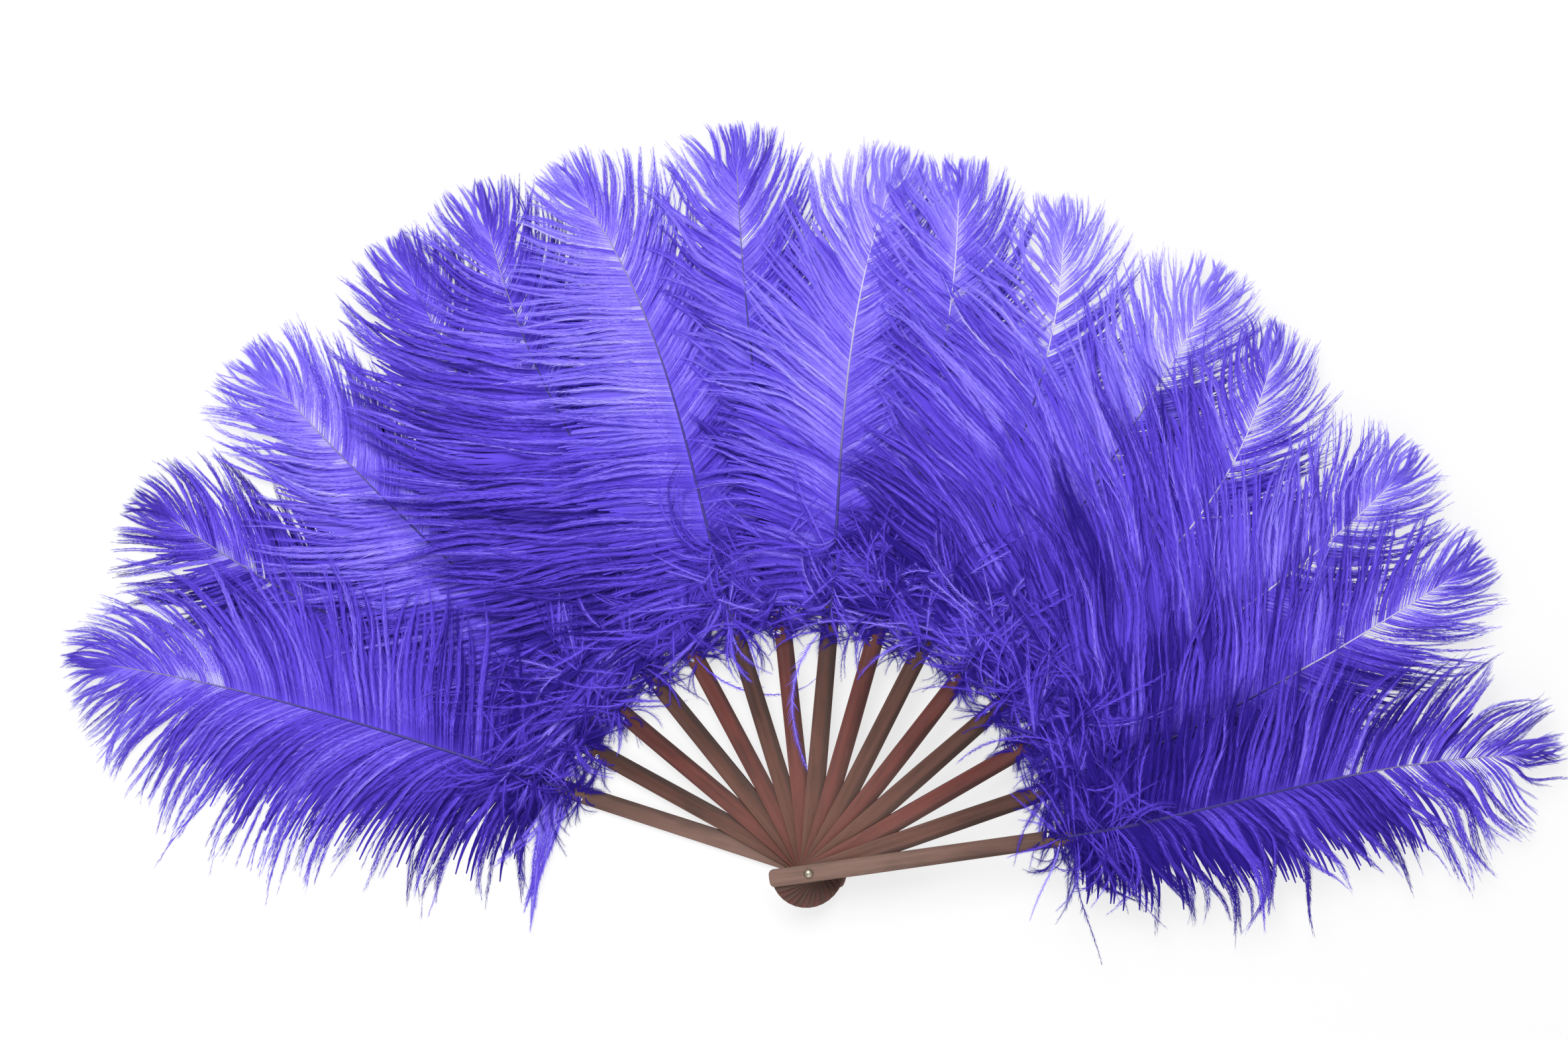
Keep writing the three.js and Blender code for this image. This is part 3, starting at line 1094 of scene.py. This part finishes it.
    def vane(self, side: Side) -> Barbs:
        """Grows the barbs of one side, gathered into strands and locks.

        Args:
            side: The side.

        Returns:
            The barbs.
        """
        vane = self.growth.vane(side)
        barbs = self.gathering(vane)
        share = barbs.share
        along = np.linspace(0.0, 1.0, self.barb_steps) ** 1.1 * self.trims(barbs)[:, None]
        runs = self.sampled(self.plain_runs(side), self.drawn_in(barbs, along, vane.gather), along)
        size = (np.interp(share, self.places, self.barb_lengths) / max(self.barb_lengths))[:, None]
        shift = self.strayed(barbs, along, vane.wander) * size ** 0.7
        runs = runs + headings(runs)[1] * shift[..., None] * MM
        runs[..., 2] += self.lifted(barbs, along) * size
        length = self.barbule_length * (1.0 - 0.4 * eased(0.6, 0.95, share))
        tone = self.tones_with_shade(barbs, vane)
        bareness = self.growth.paleness * (0.05 + 0.5 * eased(0.25, 0.7, share))
        bare = bareness * self.random.uniform(-0.3, 1.0, len(share))
        kept = self.random.random(len(share)) > vane.thin * eased(0.3, 0.75, share)
        return Barbs(VANE_FRINGE, runs[kept], length[kept], tone[kept], bare[kept])

    def dye(self, vane: Vane, share: np.ndarray) -> np.ndarray:
        """Gives the tone along a vane, darker towards the foot and paler towards the tip, with painted light
        and shade in it.

        Args:
            vane: The vane.
            share: Shares of the way along it.

        Returns:
            The tones there.
        """
        own = self.growth
        tone = own.tone + vane.tone + 0.12 - (own.foot + 0.12) * fading(0.02, 0.6, share)
        tone = tone - 0.14 * fading(0.0, 0.22, share)
        # Paler towards the tip: painted light that shows through the sheer tips.
        return tone + own.paleness * 0.22 * eased(0.6, 0.95, share)

    def grouped(self, count: int, fewest: int, most: int) -> np.ndarray:
        """Numbers things in a row by the group that each falls in, of the fewest to the most things."""
        sizes = self.random.integers(fewest, most + 1, count)
        return np.repeat(np.arange(count), sizes)[:count]

    def spread(self, group: np.ndarray, deviation: float, mean: float = 0.0) -> np.ndarray:
        """Draws a number round a mean for each group, and gives it to all in the group."""
        return self.random.normal(mean, deviation, group[-1] + 1)[group]

    def ranged(self, group: np.ndarray, low: float, high: float) -> np.ndarray:
        """Draws a number from a range for each group, and gives it to all in the group."""
        return self.random.uniform(low, high, group[-1] + 1)[group]

    @staticmethod
    def seats(group: np.ndarray) -> np.ndarray:
        """Gives each thing's place across its group, from -1 to 1."""
        before = np.arange(len(group)) - np.searchsorted(group, group)
        return (2.0 * before + 1.0) / np.bincount(group)[group] - 1.0

    @staticmethod
    def group_means(values: np.ndarray, group: np.ndarray) -> np.ndarray:
        """Gives each value the mean of its group."""
        return (np.bincount(group, values) / np.bincount(group))[group]

    def down(self, side: Side) -> Barbs:
        """Lays the soft lower barbs of one side, which close the gaps under the strands, toned darker as
        painted shade.

        Args:
            side: The side.

        Returns:
            The barbs.
        """
        vane = self.growth.vane(side)
        draw = self.random
        count = self.down_count
        share = (np.arange(count) + draw.uniform(0.0, 1.0, count)) / count
        share = share[draw.random(count) > eased(0.5, 1.0, share) + 0.3 * vane.thin * eased(0.2, 0.5, share)]
        count = len(share)
        reach = np.linspace(0.0, 1.0, self.barb_steps)
        trim = draw.uniform(*self.down_trim, count) * (1.0 - 0.2 * share)
        where = np.broadcast_to(share[:, None], (count, self.barb_steps))
        runs = self.sampled(self.plain_runs(side), where, reach[None, :] * trim[:, None])
        runs[..., 2] -= (draw.uniform(*self.down_depth, count) * MM)[:, None] * eased(0.0, 0.2, reach)
        # The lower barbs are darker than the vane: painted shade under the strands.
        tone = self.dye(vane, share) - draw.uniform(*self.down_shade, count)
        return Barbs(DOWN_FRINGE, runs, np.zeros(count), tone, np.zeros(count))

    @staticmethod
    def sampled(grid: np.ndarray, first: np.ndarray, second: np.ndarray) -> np.ndarray:
        """Reads a grid of points between its places.

        Args:
            grid: Points by two shares, in equal steps.
            first: Shares along the grid's first way.
            second: Shares along its second way.

        Returns:
            The points there.
        """
        row = first * (grid.shape[0] - 1)
        column = second * (grid.shape[1] - 1)
        low_row = np.minimum(row.astype(int), grid.shape[0] - 2)
        low_column = np.minimum(column.astype(int), grid.shape[1] - 2)
        down = (row - low_row)[..., None]
        over = (column - low_column)[..., None]
        near = grid[low_row, low_column] * (1 - over) + grid[low_row, low_column + 1] * over
        far = grid[low_row + 1, low_column] * (1 - over) + grid[low_row + 1, low_column + 1] * over
        return near * (1 - down) + far * down

    def loose(self, tuft: Tuft) -> Barbs:
        """Scatters one kind of loose flues round the plume's foot.

        Args:
            tuft: The kind.

        Returns:
            The flues.
        """
        draw = self.random
        count = tuft.count
        clump = self.grouped(count, 2, 6)
        clumps = clump[-1] + 1
        spread = (draw.permutation(clumps) + draw.random(clumps)) / clumps
        start = np.interp(spread, (0.0, 1.0), tuft.start)[clump]
        start = start + draw.normal(0.0, tuft.start_spread, count)
        heading = draw.choice([-1.0, 1.0], clumps)[clump] * self.ranged(clump, *tuft.heading)
        heading = heading + draw.normal(0.0, tuft.heading_spread, count)
        length = self.ranged(clump, *tuft.length) * draw.uniform(*tuft.trim, count)
        length = length * np.where(np.abs(heading) > tuft.backward, tuft.backward_trim, 1.0)
        curl = self.spread(clump, tuft.curl) + draw.normal(0.0, tuft.curl_spread, count)
        runs = self.curled(start, heading, length, curl, draw.uniform(*tuft.rise, count))
        tone = draw.uniform(*tuft.tone, count) + (self.growth.tone - self.common_tone) / 2
        return Barbs(FLUE_FRINGE, runs, np.full(count, tuft.fringe) * MM, tone, np.zeros(count))

    def apart(self) -> Barbs:
        """Lays the flues that hang apart from the plume.

        Returns:
            The flues.
        """
        draw = self.random
        flues = [(stray, turn * (stray.count > 1)) for stray in self.growth.strays
                 for turn in draw.normal(0.0, 1.0, stray.count)]
        start = np.array([stray.start + stray.start_spread * turn for stray, turn in flues])
        heading = np.array([stray.heading + stray.heading_spread * turn for stray, turn in flues])
        length = np.array([stray.length * (1.0 - stray.length_spread * abs(turn)) for stray, turn in flues])
        curl = np.array([stray.curl - stray.curl_spread * turn for stray, turn in flues])
        runs = self.curled(start, heading, length, curl, draw.uniform(*self.stray_rise, len(flues)))
        fringe = np.array([stray.fringe for stray, _ in flues]) * MM
        tone = draw.uniform(*self.stray_tone, len(flues))
        return Barbs(STRAY_FRINGE, runs, fringe, tone, np.zeros(len(flues)))

    def curled(self, start: np.ndarray, heading: np.ndarray, length: np.ndarray, curl: np.ndarray,
               rise: np.ndarray) -> np.ndarray:
        """Runs loose flues from the quill.

        Args:
            start: Distances from the rivet, in millimetres.
            heading: Headings from the rachis, in degrees.
            length: Lengths, in millimetres.
            curl: Turns along the flues, in degrees.
            rise: Heights of the flues' arches, in millimetres.

        Returns:
            Points by flue and along it.
        """
        draw = self.random
        count = len(start)
        roots, along = self.rachis((start * MM - self.foot) / (self.tip - self.foot))
        reach = np.linspace(0.0, 1.0, self.barb_steps)
        shake = draw.uniform(0.0, 2 * np.pi, count)[:, None]
        bearing = along[:, None] + np.radians(heading)[:, None] + np.radians(curl)[:, None] * reach
        bearing = bearing + self.flue_shake * np.sin(shake + 6.0 * reach)
        run = steps_along(bearing, (length * MM / (self.barb_steps - 1))[:, None])
        run[:, 0] = 0.0
        sink = draw.uniform(*self.flue_sink, count)[:, None]
        height = rise[:, None] * np.sin(np.pi * reach ** 0.8) + sink * reach
        return points_at(roots[:, None, :2] + np.cumsum(run, axis=1), roots[:, 2:3] + height * MM)

    def build(self) -> bpy.types.Object:
        """Makes the plume's mesh from its barbs, flues and rachis.

        Returns:
            The plume.
        """
        kinds = [self.vane(side) for side in Side]
        kinds += [self.loose(tuft) for tuft in (BOLD_FLUES, SHORT_FLUES, HIGH_FLUES)]
        if self.growth.strays:
            kinds.append(self.apart())
        kinds += [self.down(side) for side in Side]
        parts = MeshParts()
        first = 0
        for barbs in kinds:
            barbs.runs[..., 2] = np.clip(barbs.runs[..., 2], self.floor, self.ceiling)
            self.fringe(parts, barbs, first)
            first += len(barbs.runs)
        self.quill(parts)
        plume = parts.make(f"{self.node}_feather")
        plume.data.materials.append(self.barb_finish)
        plume.data.materials.append(self.quill_finish)
        return plume

    def fringe(self, parts: "MeshParts", barbs: Barbs, first: int) -> None:
        """Gives every barb of one kind its flat shaft and its barbules.

        Args:
            parts: Takes the faces.
            barbs: The barbs.
            first: The map's first cell for them.
        """
        runs, kind = barbs.runs, barbs.fringe
        _, aside = headings(runs)
        count, steps, _ = runs.shape
        reach = np.linspace(0.0, 1.0, steps)[None, :]
        half = kind.shaft / 2 * (1.0 - kind.taper * reach ** 2)[..., None]
        half = half * (kind.root + (1.0 - kind.root) * eased(0.0, 0.3, reach))[..., None]
        edges = np.stack([runs - aside * half, runs + aside * half], axis=2)
        cell = first + np.arange(count)[:, None]
        left, right = (in_cell(cell, edge, reach) for edge in (-self.shaft_share, self.shaft_share))
        corners = np.stack([edges[:, :-1, 0], edges[:, :-1, 1], edges[:, 1:, 1], edges[:, 1:, 0]], axis=2)
        places = np.stack([left[:, :-1], right[:, :-1], right[:, 1:], left[:, 1:]], axis=2)
        tones = barbs.tones((reach[:, 1:] + reach[:, :-1]) / 2)
        parts.add(corners.reshape(-1, 4, 3), places.reshape(-1, 4, 2), tones.ravel())
        for side in Side if kind.barbules else ():
            self.barbules(parts, barbs, cell, side)

    def barbules(self, parts: "MeshParts", barbs: Barbs, cell: np.ndarray, side: Side) -> None:
        """Gives every barb of one kind the barbules on one side of its shaft.

        Args:
            parts: Takes the faces.
            barbs: The barbs.
            cell: Their cells of the map.
            side: The side.
        """
        draw = self.random
        runs, kind = barbs.runs, barbs.fringe
        ahead, aside = headings(runs)
        count, steps, _ = runs.shape
        span = np.linalg.norm(np.diff(runs, axis=1), axis=-1).sum(axis=1)[:, None]
        which = np.arange(count)[:, None]
        start = self.barbule_start
        spacing = (1.0 - start) / kind.barbules
        shape = (count, kind.barbules)
        along = start + spacing * (np.arange(kind.barbules) + draw.uniform(0.0, 1.0, shape))
        step = np.minimum((along * (steps - 1)).astype(int), steps - 2)
        share = (along * (steps - 1) - step)[..., None]
        base = runs[which, step] * (1 - share) + runs[which, step + 1] * share
        forward = ahead[which, step]
        lean = np.radians(draw.normal(kind.lean, kind.lean * 0.3, shape))
        fall = np.radians(draw.normal(kind.fall, kind.fall_spread, shape))
        ending = 1.0 - 0.6 * along ** 3
        length = barbs.length[:, None] * draw.uniform(0.7, 1.2, shape)
        length *= (0.1 + 0.9 * eased(start, 0.25, along)) * ending
        outward = aside[which, step] * (side.value * np.sin(lean) * np.cos(fall))[..., None]
        tip = forward * np.cos(lean)[..., None] + outward
        tip[..., 2] += np.sin(lean) * np.sin(fall)
        tip = base + tip * length[..., None]
        tip[..., 2] = np.maximum(tip[..., 2], self.floor)
        stretch = kind.stretch * (0.3 + 0.7 * eased(start, 0.2, along)) * ending
        width = forward * (stretch * spacing * span / 2)[..., None]
        corners = np.stack([base - width, base + width, tip], axis=2)[:, :, ::side.value]
        ends = ((0.0, along - spacing * 0.6), (0.0, along + spacing * 0.6), (side.value, along + spacing))
        places = np.stack([in_cell(cell, *end) for end in ends], axis=2)[:, :, ::side.value]
        parts.add(corners.reshape(-1, 3, 3), places.reshape(-1, 3, 2), barbs.tones(along).ravel())

    def quill(self, parts: "MeshParts", rings: int = 48, sides: int = 10) -> None:
        """Adds the rachis, a closed tube that tapers from the cut foot to the tip.

        Args:
            parts: Takes the faces.
            rings: Number of rings along it.
            sides: Number of its sides.
        """
        share = np.linspace(0.0, 1.0, rings)
        points, heading = self.rachis(share)
        width = self.quill_width + (self.quill_tip_width - self.quill_width) * share ** self.quill_taper
        turn = np.linspace(0.0, 2 * np.pi, sides + 1)
        across = np.cos(turn)[None, :] * width[:, None] / 2
        up = np.sin(turn)[None, :] * width[:, None] * self.quill_flatness
        ring = np.stack([points[:, None, 0] - np.sin(heading)[:, None] * across,
                         points[:, None, 1] + np.cos(heading)[:, None] * across,
                         points[:, None, 2] + up], axis=-1)
        u = np.broadcast_to(0.5 + QUILL_HALF * np.cos(turn), ring.shape[:2])
        v = (MAP_ROWS - 1 + MAP_MARGIN + MAP_REACH * share) / MAP_ROWS
        v = np.broadcast_to(v[:, None], ring.shape[:2])
        place = np.stack([u, v], axis=-1)
        corners = np.stack([ring[:-1, :-1], ring[1:, :-1], ring[1:, 1:], ring[:-1, 1:]], axis=2)
        places = np.stack([place[:-1, :-1], place[1:, :-1], place[1:, 1:], place[:-1, 1:]], axis=2)
        # The rachis stays dark where the barbs cover it, partly its dye and partly painted shade under them,
        # and turns pale from the share shown on.
        bare = self.growth.shown
        tone = self.growth.paleness * eased(bare - 0.1, bare + 0.05, share)
        parts.add(corners.reshape(-1, 4, 3), places.reshape(-1, 4, 2), np.repeat(tone[1:], sides), 1)
        parts.add(ring[:1, :-1], place[:1, :-1], tone[0], 1)
        parts.add(ring[-1:, -2::-1], place[-1:, -2::-1], tone[-1], 1)

    def dress(self) -> None:
        """Builds the plume and hands it to the frame."""
        place_piece(self.build(), body_name(self.index), "plume", self.node)


@dataclass
class MeshParts:
    """Faces of one mesh, gathered before it is made."""

    rows: list[tuple[np.ndarray, ...]] = field(default_factory=list)

    def add(self, corners: np.ndarray, places: np.ndarray, tones: np.ndarray | float, slot: int = 0) -> None:
        """Adds faces of one kind.

        Args:
            corners: Points by face and corner.
            places: Places on the map by face and corner.
            tones: The tone of each face, dye with painted light and shade, or of them all.
            slot: Their material slot.
        """
        faces, size, _ = corners.shape
        self.rows.append((corners.reshape(-1, 3), places.reshape(-1, 2), np.full(faces, size),
                          np.broadcast_to(tones, faces), np.full(faces, slot)))

    def make(self, name: str) -> bpy.types.Object:
        """Makes the mesh, with each shared corner merged.

        Args:
            name: The object's name.

        Returns:
            The object.
        """
        points, places, sizes, tones, slots = (np.concatenate(kind) for kind in zip(*self.rows))
        keys = np.round(points / WELD).astype(np.int64)
        _, first, corner = np.unique(keys, axis=0, return_index=True, return_inverse=True)
        mesh = bpy.data.meshes.new(name)
        mesh.vertices.add(len(first))
        mesh.vertices.foreach_set("co", points[first].astype(np.float32).ravel())
        mesh.loops.add(len(points))
        mesh.loops.foreach_set("vertex_index", corner.ravel().astype(np.int32))
        mesh.polygons.add(len(sizes))
        starts = np.concatenate([[0], np.cumsum(sizes)[:-1]])
        mesh.polygons.foreach_set("loop_start", starts.astype(np.int32))
        mesh.polygons.foreach_set("loop_total", sizes.astype(np.int32))
        mesh.polygons.foreach_set("material_index", slots.astype(np.int32))
        layer = mesh.uv_layers.new(name=PLUME_MAP)
        layer.data.foreach_set("uv", places.astype(np.float32).ravel())
        tone = mesh.attributes.new(TONE, "FLOAT", "FACE")
        tone.data.foreach_set("value", tones.astype(np.float32))
        mesh.update(calc_edges=True)
        mesh.validate()
        return linked(name, mesh)


@dataclass
class Studio:
    """The white sheet, the soft lamps and the camera straight above."""

    camera_place: Vector = field(default_factory=lambda: Vector((-0.0171, 0.2472, 2.600)))
    lens: float = 84.06
    sensor: float = 36.0
    sheet_size: float = 20.0
    sheet_place: tuple[float, float, float] = (0.0, 0.2, 0.0)
    ambient: float = 0.42
    lamps_look_at: Vector = field(default_factory=lambda: Vector((0.0, 0.25, 0.02)))

    def floor(self) -> None:
        """Lays the sheet that the fan lies on."""
        bpy.ops.object.select_all(action="DESELECT")
        bpy.ops.mesh.primitive_plane_add(size=self.sheet_size, location=self.sheet_place)
        sheet = bpy.context.object
        sheet.name = "studio_sheet"
        bpy.ops.object.transform_apply(location=True, rotation=True, scale=True)
        sheet.data.materials.append(FloorFinish().material())

    def lamp(self, name: str, place: tuple[float, float, float], size: float, power: float) -> None:
        """Hangs one soft lamp that looks at the fan.

        Args:
            name: The lamp's name.
            place: Where it hangs.
            size: Its width.
            power: Its power, in watts.
        """
        data = bpy.data.lights.new(name, "AREA")
        data.size = size
        data.energy = power
        lamp = linked(name, data)
        lamp.location = place
        towards = self.lamps_look_at - lamp.location
        lamp.rotation_euler = towards.to_track_quat("-Z", "Y").to_euler()

    def light(self) -> None:
        """Sets the even light of the room and the lamps."""
        world = bpy.data.worlds.new("studio")
        world.use_nodes = True
        sockets = world.node_tree.nodes["Background"].inputs
        sockets["Strength"].default_value = self.ambient
        sockets["Color"].default_value = (1.0, 1.0, 1.0, 1.0)
        bpy.context.scene.world = world
        self.lamp("key_lamp", (-0.35, 1.05, 1.9), 1.1, 34.0)
        self.lamp("fill_lamp", (0.3, -1.3, 1.5), 1.6, 10.0)

    def camera(self) -> None:
        """Sets the camera over the fan, looking straight down."""
        data = bpy.data.cameras.new("overhead")
        data.lens = self.lens
        data.sensor_width = self.sensor
        camera = linked("overhead", data)
        camera.location = self.camera_place
        bpy.context.scene.camera = camera

    def build(self) -> None:
        """Sets up the whole studio."""
        bpy.context.scene.view_settings.view_transform = "Standard"
        self.floor()
        self.light()
        self.camera()


RED_WOOD = WoodFinish(linear(112, 56, 51), linear(62, 33, 31), linear(156, 116, 106), 0.7)
DARK_WOOD = WoodFinish(linear(98, 62, 53), linear(54, 36, 32), linear(152, 118, 106), 0.9)
GUARD_WOOD = WoodFinish(linear(122, 91, 82), linear(74, 54, 48), linear(166, 138, 126), 0.4)

# Vanes, in the order of a vane's fields; the covered side of a plume slopes down, and the other one up
RISE = 0.07
# On a covered vane the tone of -0.05 is painted shade.
UNDER = Vane(-4, 4, 1.0, -RISE, 0.7, 0.3, 4, -0.05, 0.15, 45)
SHEER_UNDER = Vane(-4, 4, 1.0, -RISE, 0.7, 0.3, 3, 0.0, 0.5, 45)

# Plumes from the rear: bow, lean and size, the left and right vanes, paleness, tone and strays
# A plume's tone is partly its dye and partly painted light and shade, set plume by plume.
GROWTHS = (
    Growth(-0.4, 1.8, 1.05, Vane(-28, 70, 1.33, -0.03, 1.0, 0.15, 4, 0.03, sweep=12),
           Vane(14, -6, 1.1, 0.13, sweep=60), 0.15, 0.44,
           (Stray(188, 90, 106, 14, 6, 9), Stray(184, 100, 100, -16, 6, 8), Stray(182, 80, 76, -25, 6, 5))),
    Growth(2.3, 0.2, 1.05, Vane(2, 8, 0.8, -0.09), UNDER, 0.15, 0.3, shown=0.7),
    Growth(-0.4, -2.3, 1.04, Vane(0, -22, 1.2, RISE), UNDER, 0.25, 0.7, shown=0.75),
    Growth(-2.4, -5.2, 1.02, Vane(4, -8, 1.18, RISE), UNDER, 0.25, 0.42, shown=0.8, foot=0.14),
    Growth(2.5, -1.6, 1.03, Vane(8, 2, 1.18, RISE), UNDER, 0.25, 0.4,
           (Stray(176, 170, 105, 110),), shown=0.8, foot=0.14),
    Growth(-3.2, 1.7, 1.01, Vane(14, 18, 1.12, RISE, 0.8, 0.3, 4, 0.12, sweep=20), UNDER, 0.25, 0.62),
    Growth(0.8, -0.2, 1.0, Vane(0, 10, 0.6, RISE), UNDER, 0.08, 0.6, shown=0.85),
    Growth(2.0, -1.9, 0.96, Vane(-6, 40, 1.12, RISE, tone=0.05, sweep=60), UNDER, 0.8, 0.72,
           (Stray(176, 140, 124, 70, 9),)),
    Growth(0.2, 3.4, 0.96, Vane(0, 16, 0.6, RISE), UNDER, 0.9, 0.56, shown=0.75),
    Growth(-0.8, 5.1, 0.95, Vane(2, 30, 1.28, RISE, 1.2, 0.5, 5, 0.02, 0.3), SHEER_UNDER, 1.0, 0.66,
           shown=0.75, foot=0.55),
    Growth(1.6, 2.9, 0.97, Vane(-6, 18, 1.25, RISE, 1.1, 0.5, 5, 0.06, 0.2), SHEER_UNDER, 0.9, 0.7,
           shown=0.75, foot=0.55),
    Growth(-2.3, 6.8, 0.96, Vane(-4, 20, 1.3, RISE, 1.3, thin=0.2), SHEER_UNDER, 0.9, 0.43,
           shown=0.5, foot=0.14),
    Growth(0.5, 3.6, 0.99, Vane(0, 18, 1.2, RISE, 1.3, thin=0.3), SHEER_UNDER, 0.95, 0.54, shown=0.5),
    Growth(3.3, 5.5, 1.0, Vane(0, 6, 1.15, RISE, thin=0.2), SHEER_UNDER, 0.8, 0.36, shown=0.6),
    Growth(3.7, 1.2, 1.02, Vane(8, -4, 1.0, RISE, thin=0.35),
           Vane(-16, 60, 0.92, -0.04, 1.7, 1.0, 9, 0.0, 0.5, sweep=4), 0.3, 0.21,
           (Stray(178, -114, 62, -8), Stray(178, -168, 40))),
)


def main() -> None:
    """Builds the studio, the staves, the rivet and the plumes, in that order."""
    logging.basicConfig(level=logging.INFO, format="%(name)s: %(message)s")
    Studio().build()
    for index in range(STAVE_COUNT):
        if index in (0, STAVE_COUNT - 1):
            Stave(index, GUARD_WOOD, "guard_wood").dress()
        elif index % 2:
            Stave(index, DARK_WOOD, "dark_wood").dress()
        else:
            Stave(index, RED_WOOD, "red_wood").dress()
    Rivet().dress()
    barbs = FeatherFinish().material()
    quill = QuillFinish().material()
    for index, growth in enumerate(GROWTHS):
        Plume(index, growth, barbs, quill).dress()


if __name__ == "__main__":
    main()
